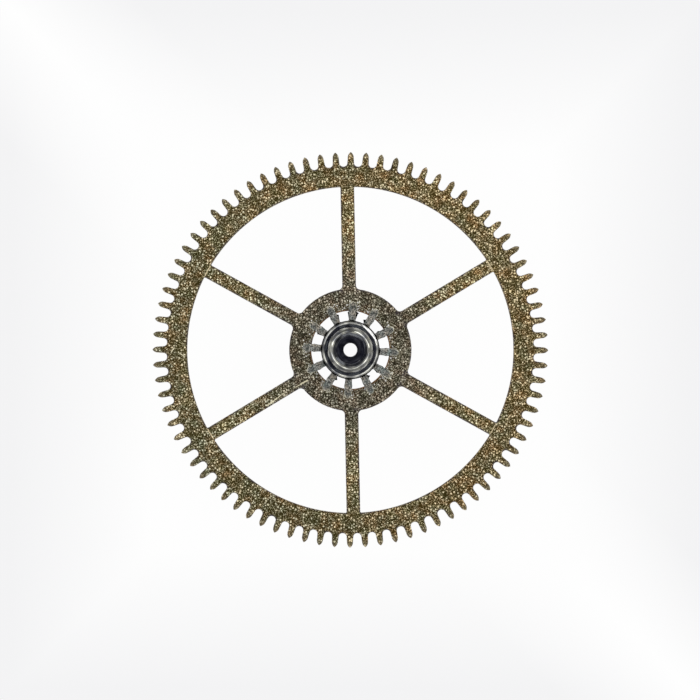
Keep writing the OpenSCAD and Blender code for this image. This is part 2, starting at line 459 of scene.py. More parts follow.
# %% [markdown]
# # The pinion
# A pinion is cut from one steel bar: the leaves run its whole length, and a lathe then turns the ends
# down. That is also how it is built here. Every row of the grid is the leaf outline at one height, held
# inside the circle that the lathe cut there. Below the hub the leaf ends are staked, which spreads their
# metal over the brass and raises small burrs beside some leaves.

# %% Leaf outline and the burrs of the staking
leaf_half = half_tooth(
    LEAF_ROOT_R, LEAF_BASE_W, LEAF_PITCH_R, LEAF_W, LEAF_TIP_R, LEAF_TIP_ROUND, LEAF_FILLET, (5, 6, 24, 6)
)
leaf_outline, leaf_normal, leaf_limit = toothed_outline(LEAVES, LEAF_PHASE, leaf_half, 4, LEAF_TIP_ROUND)

BURR_WIDTH = 0.03
BURR_R = 0.98
SPREAD = 0.012
burr_reach = np.full((LEAVES, 2), SPREAD)
burr_r = np.full((LEAVES, 2), BURR_R)
for leaf, side, place, reach in (
    # leaf, side (1 is against the clock), distance from the axis, reach beside the leaf
    (1, 1, 0.88, 0.065), (2, 0, 1.01, 0.075), (3, 0, 0.99, 0.05), (7, 1, 0.88, 0.06), (9, 1, 0.87, 0.075),
    (2, 1, 1.01, 0.035), (0, 1, 0.9, 0.03), (4, 1, 0.98, 0.04), (10, 0, 0.94, 0.03),
):
    burr_reach[leaf, side], burr_r[leaf, side] = reach, place

leaf_r = np.hypot(leaf_outline[:, 0], leaf_outline[:, 1])
turn = np.degrees(np.arctan2(leaf_outline[:, 1], leaf_outline[:, 0])) - LEAF_PHASE
leaf_number = np.round(turn / (360 / LEAVES)).astype(int) % LEAVES
leaf_side = (np.sin(np.radians(turn * LEAVES)) > 0).astype(int)
off = (leaf_r - burr_r[leaf_number, leaf_side]) / BURR_WIDTH
burr = burr_reach[leaf_number, leaf_side] * np.exp(-off * off)
print("longest burr:", round(float(burr.max()), 3), "mm")

# %% The pinion's rows, from the lower end of its bore round the outside and back
LEAF_BEVEL = 0.028
BOSS_BEVEL = 0.015
BROKEN_EDGE = 0.006
ON_TOP = LEAF_BEVEL + 0.012
UNDER_COLLAR_R = COLLAR_R - 0.03
FREE = 9.0
a = np.radians([0, 22.5, 45, 67.5, 90])
top_inset = LEAF_BEVEL * (1 - np.cos(a))
top_z = LEAF_TOP - LEAF_BEVEL * (1 - np.sin(a))
pinion_rows = np.array([
    # height, circle, inset, share of the burr
    [PINION_BOTTOM, SEAT_LOW_R, 0, 0],
    [PINION_BOTTOM, LEAF_ROOT_R - BOSS_BEVEL - HOLD, 0, 0],
    [PINION_BOTTOM, LEAF_ROOT_R - BOSS_BEVEL, 0, 0],
    [PINION_BOTTOM + 0.3 * BOSS_BEVEL, LEAF_ROOT_R - 0.3 * BOSS_BEVEL, 0, 0],
    [PINION_BOTTOM + BOSS_BEVEL, LEAF_ROOT_R, 0, 0],
    [STAKE_BOTTOM, LEAF_ROOT_R, 0, 0],
    [STAKE_BOTTOM, STAKE_LOW_R - HOLD, 0, 0.8],
    [STAKE_BOTTOM + BROKEN_EDGE, STAKE_LOW_R, 0, 1],
    [RIM_BOTTOM - BROKEN_EDGE, STAKE_R, 0, 1],
    [RIM_BOTTOM, STAKE_R, 0, 0.6],
    [RIM_BOTTOM, HUB_HOLE_R, 0, 0],
    [WEB_TOP, HUB_HOLE_R, 0, 0],
    [WEB_TOP, LEAF_TIP_R - LEAF_CHAMFER, 0, 0],
    [WEB_TOP + LEAF_CHAMFER, FREE, 0, 0],
    *[[z, FREE, inset, 0] for z, inset in zip(top_z, top_inset)],
    [LEAF_TOP, FREE, LEAF_BEVEL + HOLD, 0],
    [LEAF_TOP, FREE, ON_TOP, 0],
    [LEAF_TOP, RECESS_R + 2 * BROKEN_EDGE, ON_TOP, 0],
    [LEAF_TOP, RECESS_R + BROKEN_EDGE, ON_TOP, 0],
    [LEAF_TOP - BROKEN_EDGE, RECESS_R, ON_TOP, 0],
    [RECESS_Z, RECESS_R, ON_TOP, 0],
    [RECESS_Z, UNDER_COLLAR_R, ON_TOP, 0],
    [RECESS_Z, SEAT_HIGH_R, ON_TOP, 0],
])

# %% Build the pinion
HEAD_R = 1.1
HEAD_FADE = 0.06
FLAT = 1e-9


def leaf_shell(rows):
    """Point = outline + (burr - inset) * normal, drawn in to the row's circle where it lies outside it.

    Where the outline itself lies inside the recess that the lathe cut, the height stays at its floor.
    With the points come two values: how rounded the edge of a leaf's head is there, and how much painted
    shade it gets.
    """
    z, circle, inset, share = rows.T[..., None]
    move = share * burr - np.minimum(inset, leaf_limit)
    plan = leaf_outline + move[..., None] * leaf_normal
    r = np.hypot(plan[..., 0], plan[..., 1])
    plan = plan * np.minimum(1, circle / r)[..., None]
    z = np.where(leaf_r <= RECESS_R, np.minimum(z, RECESS_Z), z)
    rounding = np.clip(1 - inset / LEAF_BEVEL, 0, 1) * np.clip((leaf_r - HEAD_R) / HEAD_FADE, 0, 1)
    # The third value is painted shade: black in the recess under the collar and on the larger burrs below the
    # hub.
    in_recess = (circle <= RECESS_R) & (z > WEB_TOP) | (leaf_r <= RECESS_R) & (z >= RECESS_Z - FLAT)
    burr_shade = np.clip((burr - SPREAD) / SPREAD, 0, 1) * (z <= RIM_BOTTOM + FLAT)
    return np.concatenate([plan, z[..., None]], axis=-1), rounding, np.where(in_recess, 1.0, burr_shade)


grid, head_edge, dirt = leaf_shell(pinion_rows)
flat = grid.reshape(-1, 3)
keep, triangles = weld(flat, closed_grid(*grid.shape[:2]))
pinion = new_piece(
    "pinion_steel", flat[keep], [triangles.tolist()],
    head_edge=head_edge.reshape(-1)[keep], dirt=dirt.reshape(-1)[keep])
clean(pinion)
shade(pinion, 40)

# %% [markdown]
# # The arbor
# Everything on the arbor is turned, so it is one closed profile carried round the axis. Its corners are
# listed with a rounding each. Polished steel shows every kink as a line, so each rounding is cut finely,
# and one more row beside it keeps the straight stretches straight.

# %% A profile with rounded corners
def rounded_profile(corners, radii, finish, gleam, steps):
    """Closed profile whose corner i is an arc of radius r.

    With u and v the directions to the neighbours and q the angle between them, the arc begins
    r / tan(q / 2) from the corner and its centre lies r / sin(q / 2) along the bisector. The arc's
    directions are (sin((1 - t) w) s + sin(t w) e) / sin w, for t from 0 to 1 and w = 180° - q.
    finish[i] belongs to the stretch that leads to corner i, and gleam[i] to its arc, which the finish of
    that stretch fades into over the arc's first half.
    """
    back = np.roll(corners, 1, axis=0) - corners
    ahead = np.roll(corners, -1, axis=0) - corners
    u = back / np.linalg.norm(back, axis=1, keepdims=True)
    v = ahead / np.linalg.norm(ahead, axis=1, keepdims=True)
    q = np.arccos(np.clip((u * v).sum(1), -1, 1))[:, None]
    r = radii[:, None]
    start = r / np.tan(q / 2)
    centre = corners + (u + v) / np.linalg.norm(u + v, axis=1, keepdims=True) * r / np.sin(q / 2)
    s, e = (corners + u * start - centre) / r, (corners + v * start - centre) / r
    w = (np.pi - q)[:, None]
    t = np.linspace(0, 1, steps)[None, :, None]
    bend = (np.sin((1 - t) * w) * s[:, None] + np.sin(t * w) * e[:, None]) / np.sin(w)
    arcs = centre[:, None] + r[:, None] * bend
    before = (corners + u * (start + HOLD))[:, None]
    after = (corners + v * (start + HOLD))[:, None]
    ahead_finish = np.roll(finish, -1)
    share = np.minimum(1, 2 * np.linspace(0, 1, steps))
    mixed = finish[:, None] + (gleam - finish)[:, None] * share
    tone = np.concatenate([finish[:, None], mixed, ahead_finish[:, None]], axis=1)
    return np.concatenate([before, arcs, after], axis=1).reshape(-1, 2), tone.reshape(-1)


# %% Corners of the arbor's profile
SINK_H = SINK_R - BORE_R
POST_SINK_H = POST_SINK_R - BORE_R
TURNED, DULL, GROUND, POLISHED = 0.0, 0.25, 0.5, 1.0
arbor_corners = np.array([
    # radius, height, rounding, finish of the stretch that leads here, finish of the rounding
    [BORE_R, ARBOR_TOP - SINK_H, 0.01, TURNED, TURNED],
    [BORE_R, ARBOR_BOTTOM + POST_SINK_H, 0.01, TURNED, TURNED],
    [POST_SINK_R, ARBOR_BOTTOM, 0.008, TURNED, GROUND],
    [POST_R, ARBOR_BOTTOM, POST_ROUND, GROUND, POLISHED],
    [POST_R, GROOVE_Z - GROOVE_W / 2, 0.06, POLISHED, POLISHED],
    [POST_R - GROOVE_H, GROOVE_Z, 0.15, GROUND, GROUND],
    [POST_R, GROOVE_Z + GROOVE_W / 2, 0.06, GROUND, POLISHED],
    [POST_R, LOWER_PIVOT_END, 0.012, POLISHED, GROUND],
    [LOWER_PIVOT_R - SHOULDER_CHAMFER, LOWER_PIVOT_END, 0.008, GROUND, POLISHED],
    [LOWER_PIVOT_R, LOWER_PIVOT_END + SHOULDER_CHAMFER, 0.008, POLISHED, POLISHED],
    [LOWER_PIVOT_R, PINION_BOTTOM, 0.004, POLISHED, GROUND],
    [SEAT_LOW_R, PINION_BOTTOM, 0.004, GROUND, GROUND],
    [SEAT_HIGH_R, RECESS_Z, 0.004, GROUND, GROUND],
    [COLLAR_R, RECESS_Z, 0.006, GROUND, GROUND],
    [COLLAR_R, COLLAR_TOP, COLLAR_ROUND, DULL, POLISHED],
    [PIVOT_R, COLLAR_TOP, 0.012, POLISHED, GROUND],
    [PIVOT_R, ARBOR_TOP, PIVOT_ROUND, DULL, POLISHED],
    [SINK_R, ARBOR_TOP, 0.006, GROUND, TURNED],
])
ROUND_STEPS = 13
profile, tone = rounded_profile(arbor_corners[:, :2], *arbor_corners[:, 2:].T, ROUND_STEPS)
print("arbor profile:", len(profile), "points")

# %% Carry the profile round the axis
AROUND = 192


def lathe(name, profile, tone, columns):
    """Point (i, j) = (r_i cos a_j, r_i sin a_j, z_i), with the angles a_j spread evenly."""
    a = 2 * np.pi * np.arange(columns) / columns
    r, z = profile[:, :1], profile[:, 1:]
    grid = np.stack([r * np.cos(a), r * np.sin(a), z + 0 * a], axis=-1)
    value = np.repeat(tone, columns)
    return new_piece(name, grid, [closed_grid(len(profile), columns).tolist()], finish=value)


arbor = lathe("arbor_steel", profile, tone, AROUND)
shade(arbor, 40)

# %% [markdown]
# # Finishes
# The finishes are made of nodes. One helper adds a node, sets its options and fills its inputs, either
# with a constant or with a link from another node, so that a material reads like a list of steps. A link
# knows the tree that it belongs to, so only the first nodes of a tree have to name it. Patterns read
# Object coordinates, which are metres here, so a scale of 10,000 gives about ten spots in a millimetre.

# %% Helpers for nodes
def is_link(value):
    """Whether a value comes out of another node."""
    return isinstance(value, bpy.types.NodeSocket)


def fill(sockets, values):
    """Give sockets constants or links."""
    for key, value in values.items():
        if is_link(value):
            value.id_data.links.new(value, sockets[key])
        else:
            sockets[key].default_value = value


def add_to(tree, kind, inputs=None, **options):
    """Add a shader node to a tree, set its options and fill its inputs. Returns its outputs."""
    node = tree.nodes.new("ShaderNode" + kind)
    for key, value in options.items():
        setattr(node, key, value)
    fill(node.inputs, inputs or {})
    return node.outputs


def add(kind, inputs, **options):
    """The same in the tree that the links among the inputs come from."""
    tree = next(value.id_data for value in inputs.values() if is_link(value))
    return add_to(tree, kind, inputs, **options)


# %% Helpers for values
def maths(operation, *values):
    """A Math node on one, two or three values."""
    return add("Math", dict(enumerate(values)), operation=operation)[0]


def size_of(value):
    """The value without its sign."""
    return maths("ABSOLUTE", value)


def times(first, *others):
    """The product of several values, with one Math node for each step."""
    for other in others:
        first = maths("MULTIPLY", first, other)
    return first


def remap(value, low, high, to_low=0.0, to_high=1.0):
    """Move value from the span low..high to the span to_low..to_high, held inside it."""
    spans = {"Value": value, "From Min": low, "From Max": high, "To Min": to_low, "To Max": to_high}
    return add("MapRange", spans)[0]


# %% [markdown]
# # Frosted grain
# The brass has a grain of tiny pits and bright crests, about a thirtieth of a millimetre across, as
# brushing and old gilding leave it. Two noises of different size, mixed, give irregular crests that run
# together here and there. Painted glints sit on top: points strewn at random, each as bright as its luck
# has it, where light would glint off the crests. A larger noise gives spots of another hue, and a much
# larger one soft patches.
# The steel pieces use the same kind of grain with other sizes, so this is a group that all three use.

# %% Helpers for groups
def new_group(name, inputs, outputs):
    """A node group with named inputs (name, value) and outputs. A value of None stands for a vector."""
    group = bpy.data.node_groups.new(name, "ShaderNodeTree")
    for socket, value in inputs:
        kind = "NodeSocketFloat" if isinstance(value, float) else "NodeSocketVector"
        made = group.interface.new_socket(socket, in_out="INPUT", socket_type=kind)
        if value is not None:
            made.default_value = value
    for socket in outputs:
        group.interface.new_socket(socket, in_out="OUTPUT", socket_type="NodeSocketFloat")
    print("group:", name)
    return group, group.nodes.new("NodeGroupInput").outputs, group.nodes.new("NodeGroupOutput").inputs


def noise(vector, scale, detail, roughness=0.5):
    """Soft noise between 0 and 1."""
    inputs = {"Vector": vector, "Scale": scale, "Detail": detail, "Roughness": roughness}
    return add("TexNoise", inputs)[0]


# %% Group: frosted grain
FINE_TIMES = 2.1
FINE_SHARE = 0.4
HUE_TIMES = 0.16
GLINT_TIMES = 0.5
HUE_PLACE = (1.0, 2.0, 3.0)
grain_group, given, result = new_group(
    "Frosted grain", [("Vector", None), ("Scale", 18000.0), ("Patch Scale", 2500.0), ("Contrast", 1.0)],
    ["Grain", "Patch", "Hue", "Sparkle"],
)
scale = given["Scale"]
coarse = noise(given["Vector"], scale, 1.0, 0.6)
fine = noise(given["Vector"], times(scale, FINE_TIMES), 0.0)
grain = maths("MULTIPLY_ADD", fine, FINE_SHARE, times(coarse, 1 - FINE_SHARE))
spread = times(maths("SUBTRACT", grain, 0.5), given["Contrast"])
patch = noise(given["Vector"], given["Patch Scale"], 1.0)
aside = add("VectorMath", {0: given["Vector"], 1: HUE_PLACE}, operation="ADD")[0]
hue = noise(aside, times(scale, HUE_TIMES), 0.0)
from_point, cell, *_ = add("TexVoronoi", {"Vector": given["Vector"], "Scale": times(scale, GLINT_TIMES)})
luck = add("SeparateColor", {0: cell})[0]
glint = times(remap(from_point, 0.24, 0.4, 1.0, 0.0), remap(luck, 0.3, 0.6))
grain = maths("ADD", spread, 0.5)
patch, hue = (remap(value, 0.3, 0.7) for value in (patch, hue))
fill(result, {"Grain": grain, "Patch": patch, "Hue": hue, "Sparkle": glint})

# %% [markdown]
# # Scratches
# Handling leaves a few short straight scratches, each at a place of its own. A scratch is where a point,
# measured from the scratch's middle and turned with it, is within half its length and half its width.
# Only the brass shows them, but a group keeps one scratch to one line in the material.

# %% Group: straight scratch
scratch_group, given, result = new_group("Straight scratch", [
    ("Vector", None), ("Middle", (0.0, 0.0, 0.0)), ("Angle", 0.0), ("Length", 0.4 * MM), ("Width", 0.03 * MM),
], ["Mask"])
off = add("VectorMath", {0: given["Vector"], 1: given["Middle"]}, operation="SUBTRACT")[0]
back = times(given["Angle"], -1.0)
turned = add("VectorRotate", {"Vector": off, "Angle": back}, rotation_type="Z_AXIS")[0]
along, beside, _ = add("SeparateXYZ", {"Vector": turned})
near_ends = maths("DIVIDE", size_of(along), given["Length"])
near_sides = maths("DIVIDE", size_of(beside), given["Width"])
inside = times(remap(near_ends, 0.35, 0.5, 1.0, 0.0), remap(near_sides, 0.35, 0.65, 1.0, 0.0))
fill(result, {"Mask": inside})

# %% [markdown]
# # Turning marks
# A lathe and polishing leave fine rings, broken into arcs. A noise draws them that changes quickly with
# the distance from the axis and with the height, and slowly round the axis. The direction enters it as
# cosine and sine, so that it closes without a seam. The distance is a group of its own, because every
# metal here needs it. It also says how squarely a point lies to the left or right of the axis.

# %% Group: distance from the axis
axis_group, given, result = new_group("Distance from the axis", [("Vector", None)], ["Radius", "Sideways"])
x, y, _ = add("SeparateXYZ", {"Vector": given["Vector"]})
flat_part = add("CombineXYZ", {"X": x, "Y": y})[0]
from_axis = add("VectorMath", {0: flat_part}, operation="LENGTH")["Value"]
fill(result, {"Radius": from_axis, "Sideways": maths("DIVIDE", size_of(x), from_axis)})

# %% Group: turning marks
ARC_CHANGES = 1.6
HEIGHT_SHARE = 1.7


def use(group, vector, **values):
    """Place a group, give it a vector and its values, and return its outputs."""
    values = {key.replace("_", " "): value for key, value in values.items()}
    return add("Group", {"Vector": vector, **values}, node_tree=group)


ring_group, given, result = new_group("Turning marks", [("Vector", None), ("Scale", 60000.0)], ["Rings"])
from_axis = use(axis_group, given["Vector"])["Radius"]
x, y, z = add("SeparateXYZ", {"Vector": given["Vector"]})
outwards = times(maths("MULTIPLY_ADD", z, HEIGHT_SHARE, from_axis), given["Scale"])
around = [times(maths("DIVIDE", side, from_axis), ARC_CHANGES) for side in (x, y)]
place = add("CombineXYZ", {"X": outwards, "Y": around[0], "Z": around[1]})[0]
fill(result, {"Rings": noise(place, 1.0, 1.0)})

# %% [markdown]
# # Old gilt brass
# The colour runs from dark olive brown in the pits over dull gold to a pale cream on the crests, which is
# partly painted glint. Spots and patches are browner or greener, as old gilding turns, and one side of the
# wheel is a little warmer than the other. The colours are given as a picture stores them, the casts as
# factors.

# %% Helpers for colours
def linear(r, g, b):
    """A colour as a picture stores it, 0 to 255, turned into the linear light that a shader works with."""
    c = np.array([r, g, b]) / 255
    c = np.where(c <= 0.04045, c / 12.92, ((c + 0.055) / 1.055) ** 2.4)
    return (*c.tolist(), 1.0)


def ramp(value, stops):
    """A colour ramp through (place, colour) stops."""
    outputs = add("ValToRGB", {"Fac": value})
    points = outputs[0].node.color_ramp.elements
    points[0].position, points[0].color = stops[0]
    points[1].position, points[1].color = stops[-1]
    for place, colour in stops[1:-1]:
        points.new(place).color = colour
    return outputs[0]


def shades(value, stops):
    """A colour ramp through stops of a place and a colour as a picture stores it."""
    return ramp(value, [(place, linear(*colour)) for place, colour in stops])


def blend_colours(share, first, second, how="MIX"):
    """Mix two colours by share."""
    return add("Mix", {"Factor": share, 6: first, 7: second}, data_type="RGBA", blend_type=how)[2]


def paint(colour, *layers):
    """Lay shades over a colour, one after the other: each layer is a share and a shade, 0 to 255."""
    for share, shade_on_top in layers:
        colour = blend_colours(share, colour, linear(*shade_on_top))
    return colour


def tint(colour, value, casts, share=1.0):
    """Multiply a colour by a ramp through (place, (red, green, blue)) factors."""
    cast = ramp(value, [(place, (*factors, 1.0)) for place, factors in casts])
    return blend_colours(share, colour, cast, "MULTIPLY")


# %% Helpers for materials
def new_material(name):
    """A material with its node tree and its Principled shader."""
    material = bpy.data.materials.new(name)
    material.use_nodes = True
    return material, material.node_tree, material.node_tree.nodes["Principled BSDF"].inputs


def remap_mm(length, low, high, to_low=0.0, to_high=1.0):
    """The same for a length on the mesh, with the span low..high in millimetres."""
    return remap(length, low * MM, high * MM, to_low, to_high)


def reach_towards(vector, degrees):
    """x cos a + y sin a: how far a point lies from the axis in the direction a, in degrees."""
    direction = (math.cos(math.radians(degrees)), math.sin(math.radians(degrees)), 0.0)
    return add("VectorMath", {0: vector, 1: direction}, operation="DOT_PRODUCT")["Value"]


def on_mesh(tree, name):
    """The values that the mesh holds under this name."""
    return add_to(tree, "Attribute", attribute_name=name)["Fac"]


# %% Brass: the colour of the grain
# From pit to crest; the palest crests partly stand for painted glints.
BRASS_SHADES = (
    (0.36, (63, 53, 24)), (0.44, (64, 54, 24)), (0.5, (67, 57, 26)),
    (0.56, (78, 67, 37)), (0.62, (122, 109, 74)), (0.68, (220, 205, 166)),
)
GLINT_SHADE = (255, 242, 205)
SPOT_CASTS = ((0.0, (0.945, 1.01, 0.96)), (0.5, (1.0, 1.0, 1.0)), (1.0, (1.11, 0.975, 0.88)))
PATCH_CASTS = ((0.0, (0.83, 0.89, 0.91)), (0.5, (1.0, 1.0, 1.0)), (1.0, (1.17, 1.06, 0.97)))
WARM_CASTS = ((0.0, (0.96, 1.017, 1.07)), (1.0, (1.04, 0.983, 0.93)))
WARM_SIDE = 25
PAINTED_LIGHT_SIDE = 70


def across_wheel(vector, degrees):
    """0 at the rim on the far side of a direction in the wheel's plane, 1 at the rim on the near side."""
    return remap_mm(reach_towards(vector, degrees), -TIP_R, TIP_R)


brass, tree, shader = new_material("Old gilt brass")
where = add_to(tree, "TexCoord")
grain, patch, hue, glint = use(
    grain_group, where["Object"], Scale=29000.0, Patch_Scale=3000.0, Contrast=1.75)
colour = tint(shades(grain, BRASS_SHADES), hue, SPOT_CASTS)
# Painted glints: bright points laid over the grain, where light would glint off the crests.
colour = tint(paint(colour, (glint, GLINT_SHADE)), patch, PATCH_CASTS)
colour = tint(colour, across_wheel(where["Object"], WARM_SIDE), WARM_CASTS)
print("brass from", BRASS_SHADES[0][1], "in the pits to", BRASS_SHADES[-1][1], "on the crests")

# %% [markdown]
# # Bright and dull parts of the brass
# Hands and oil reach some parts of a wheel more than others. Here the arms are brighter than the rim, the
# teeth are bright again from the work they do, and the brass near the hub is greyer. One side of the wheel
# is painted a little brighter, as painted light falling from that side. Right beside the leaves and round
# their heads the brass is partly burnished, as pressing the pinion home leaves it, and partly painted
# brighter, as painted light that lifts the shade the tall leaves cast.

# %% Brass: brightness over the wheel
BRIGHTNESS = (
    # from and to this distance from the axis, in millimetres, the brightness goes from and to
    # the first row is partly painted light, lifting the brass round the leaf heads against their shade
    (1.18, 1.34, 1.17, 0.88), (1.9, 2.7, 1.0, 1.3), (4.2, 4.5, 1.0, 0.84), (5.0, 5.12, 1.0, 1.2),
)
GREY_TO_GOLD = (1.6, 3.3, 0.67, 1.0)
BESIDE_LEAF = (0.12, 0.3, 1.0, 0.0)
ROUND_LEAF_ENDS = (1.25, 1.42, 1.0, 0.0)
BURNISH_AND_PAINTED_LIGHT = 2.1
from_axis, sideways = use(axis_group, where["Object"])
# Painted light: one side of the wheel is painted a little brighter, as if the light fell from there.
value = remap(across_wheel(where["Object"], PAINTED_LIGHT_SIDE), 0.0, 1.0, 0.87, 1.02)
value = times(value, *[remap_mm(from_axis, *span) for span in BRIGHTNESS])
x, y, _ = add("SeparateXYZ", {"Vector": where["Object"]})
around = maths("SUBTRACT", maths("ARCTAN2", y, x), math.radians(LEAF_PHASE))
off_leaf = maths("PINGPONG", around, math.pi / LEAVES)
beside_leaf = times(from_axis, maths("SINE", off_leaf))
# Partly burnish, partly painted light: the brass beside the leaves is lifted against the shade they cast.
burnish_and_painted_light = times(remap_mm(beside_leaf, *BESIDE_LEAF), remap_mm(from_axis, *ROUND_LEAF_ENDS))
value = times(value, remap(burnish_and_painted_light, 0.0, 1.0, 1.0, BURNISH_AND_PAINTED_LIGHT))
saturation = remap_mm(from_axis, *GREY_TO_GOLD)
colour = add("HueSaturation", {"Color": colour, "Saturation": saturation, "Value": value})[0]
print("brightness changes at", [span[:2] for span in BRIGHTNESS], "mm from the axis")

# %% [markdown]
# # Edges of the brass
# Close to an edge the flat faces are darker and cooler, with some bright grains left. The walls are cut,
# not frosted, so they are smooth and even. The hub's hole has a bare, orange edge, the tips of the teeth
# are worn greyer, and a painted highlight, a fine bright line, shows where the rim steps up from the arms,
# most clearly on the arms that point sideways, where light from the sides would catch it.

# %% Brass: edges, walls and the step
EDGE_SHADE = (68, 61, 66)
WALL_SHADE = (134, 116, 74)
HOLE_SHADE = (186, 128, 74)
TIP_SHADE = (124, 114, 95)
STEP_HIGHLIGHT = (255, 236, 196)
TIP_WEAR = (5.13, 5.35, 0.0, 0.55)
STEP_LINE = (0.007, 0.014, 1.0, 0.0)
WALL_SHARE = 0.65
STEP_SHARE = 0.95
facing_z = add("SeparateXYZ", {"Vector": where["Normal"]})["Z"]
upper_side = remap(facing_z, 0.6, 0.9)
on_flat = remap(size_of(facing_z), 0.6, 0.9)
edge = on_mesh(tree, "edge")
uneven = maths("DIVIDE", edge, remap(patch, 0.3, 0.7, 1.0, 0.5))
dark_edge = times(
    remap(uneven, 0.5, 1.0, 0.9, 0.0), on_flat, remap_mm(from_axis, 5.0, 5.12, 1.0, 0.5),
    remap(grain, 0.55, 0.64, 1.0, 0.3))
wall = remap(size_of(facing_z), 0.02, 0.3, WALL_SHARE, 0.0)
hole = times(on_mesh(tree, "hub_hole"), remap(patch, 0.3, 0.55, 0.2, 0.9))
off_step = size_of(maths("SUBTRACT", from_axis, RIM_INNER_R * MM))
# Painted highlight: a fine bright line on the step's edge, strongest where light from the sides catches it.
step = times(
    remap_mm(off_step, *STEP_LINE), remap(edge, 0.6, 0.75),
    remap(sideways, 0.3, 0.7, 0.1, 1.0), upper_side, STEP_SHARE)
colour = paint(
    colour, (dark_edge, EDGE_SHADE), (wall, WALL_SHADE), (hole, HOLE_SHADE),
    (remap_mm(from_axis, *TIP_WEAR), TIP_SHADE), (step, STEP_HIGHLIGHT))
print("nodes in the brass so far:", len(tree.nodes))

# %% Brass: scratches
# The scratches are real marks; their near-white colour is partly a painted glint.
SCRATCH_AND_GLINT_SHADE = (255, 246, 212)
SCRATCHES = (
    # middle from the axis, length and width in millimetres, angle in degrees
    ((-2.12, -1.414), 0.42, 0.032, 36), ((-1.86, -1.22), 0.32, 0.022, 36),
    ((-1.349, -0.941), 0.5, 0.024, 29), ((-1.25, -0.876), 0.27, 0.038, 26),
    ((-4.826, -0.014), 0.2, 0.024, 56), ((-4.6, -0.12), 0.22, 0.02, -35),
)
for (across, up), length, width, angle in SCRATCHES:
    mask = use(
        scratch_group, where["Object"], Middle=(across * MM, up * MM, 0.0),
        Angle=math.radians(angle), Length=length * MM, Width=width * MM)[0]
    broken = times(mask, remap(grain, 0.4, 0.52, 0.35, 1.0), upper_side)
    colour = paint(colour, (broken, SCRATCH_AND_GLINT_SHADE))
print("scratches on the brass:", len(SCRATCHES))

# %% Brass: relief and the finished material
def finish_metal(shader, colour, roughness, height, strength, depth):
    """Join a metal's colour and roughness to its shader, and a relief of the given depth in millimetres."""
    bump = add("Bump", {"Height": height, "Strength": strength, "Distance": depth * MM})[0]
    fill(shader, {"Base Color": colour, "Metallic": 1.0, "Roughness": roughness, "Normal": bump})
    print("a finish of", len(bump.id_data.nodes), "nodes")


relief = times(grain, remap(wall, 0.0, WALL_SHARE, 1.0, 0.3))
finish_metal(shader, colour, remap(grain, 0.35, 0.65, 0.55, 0.4), relief, 0.35, 0.02)

# %% [markdown]
# # Steel of the leaves
# The ends of the leaves are ground and left matte: a cool grey, mottled like the brass but calmer towards
# their roots, which get painted shade. Round the heads of the leaves the rounded edge gets a painted
# highlight, broken up by the grain, and small burrs and the corner under the collar get black painted
# shade. The flanks are polished, because they roll against the teeth of the next wheel.

# %% Material: ground steel
LEAF_SHADES = (
    (0.36, (64, 65, 63)), (0.45, (93, 93, 90)), (0.5, (114, 114, 109)),
    (0.56, (146, 144, 139)), (0.64, (200, 198, 190)),
)
LEAF_CASTS = ((0.0, (0.78, 0.9, 0.92)), (0.5, (1.0, 1.0, 1.0)), (1.0, (1.2, 1.1, 0.98)))
CALM_SHADE = (118, 118, 114)
# Painted shade that darkens the leaves towards their roots.
ROOT_PAINTED_SHADE = (50, 50, 52)
HEAD_SHADE = (74, 78, 74)
EDGE_HIGHLIGHT_SHADE = (206, 202, 180)
PAINTED_SHADE_BLACK = (18, 18, 20)
FLANK_SHADE = (132, 132, 129)
CALM_PART = (0.95, 1.08, 0.3, 0.0)
ROOT_PART = (0.78, 0.9, 0.4, 0.0)
HEAD_RISE = (1.04, 1.14, 0.0, 0.6)
HEAD_FALL = (1.19, 1.28, 1.0, 0.2)
ground, tree, shader = new_material("Ground steel")
where = add_to(tree, "TexCoord")
grain, patch, _, _ = use(grain_group, where["Object"], Scale=26000.0, Patch_Scale=5000.0, Contrast=2.0)
from_axis = use(axis_group, where["Object"])["Radius"]
facing_z = add("SeparateXYZ", {"Vector": where["Normal"]})["Z"]
head = on_mesh(tree, "head_edge")
# Painted shade: black in the recess under the collar and on the burrs.
dirt = on_mesh(tree, "dirt")
head_ring = times(remap_mm(from_axis, *HEAD_RISE), remap_mm(from_axis, *HEAD_FALL))
# Painted highlight on the rounded edge of each leaf's head where it faces up, broken up by the grain.
painted_edge_highlight = times(remap(head, 0.0, 0.5), remap(facing_z, 0.15, 0.4))
broken = times(painted_edge_highlight, remap(grain, 0.4, 0.56, 0.1, 1.0))
flank = remap(size_of(facing_z), 0.02, 0.12, 1.0, 0.0)
calm = paint(shades(grain, LEAF_SHADES), (remap_mm(from_axis, *CALM_PART), CALM_SHADE))
colour = paint(
    tint(calm, patch, LEAF_CASTS), (remap_mm(from_axis, *ROOT_PART), ROOT_PAINTED_SHADE), (head_ring, HEAD_SHADE),
    (times(broken, 0.8), EDGE_HIGHLIGHT_SHADE), (times(dirt, 0.97), PAINTED_SHADE_BLACK), (times(flank, 0.8), FLANK_SHADE))
smooth = remap(maths("MAXIMUM", painted_edge_highlight, flank), 0.0, 1.0, 0.5, 0.25)
relief = times(grain, remap(flank, 0.0, 1.0, 1.0, 0.15))
finish_metal(shader, colour, smooth, relief, 0.3, 0.01)

# %% [markdown]
# # Polished steel
# The pivots, the collar and the post are polished almost like a mirror, the end face is only ground, and
# the inside of the bore and its sinks is dark from the drill and partly painted dark, as the shade inside
# them. The mesh says which stretch is which.
# Turning marks are strong on the upper end, where the photograph shows them, and faint elsewhere.

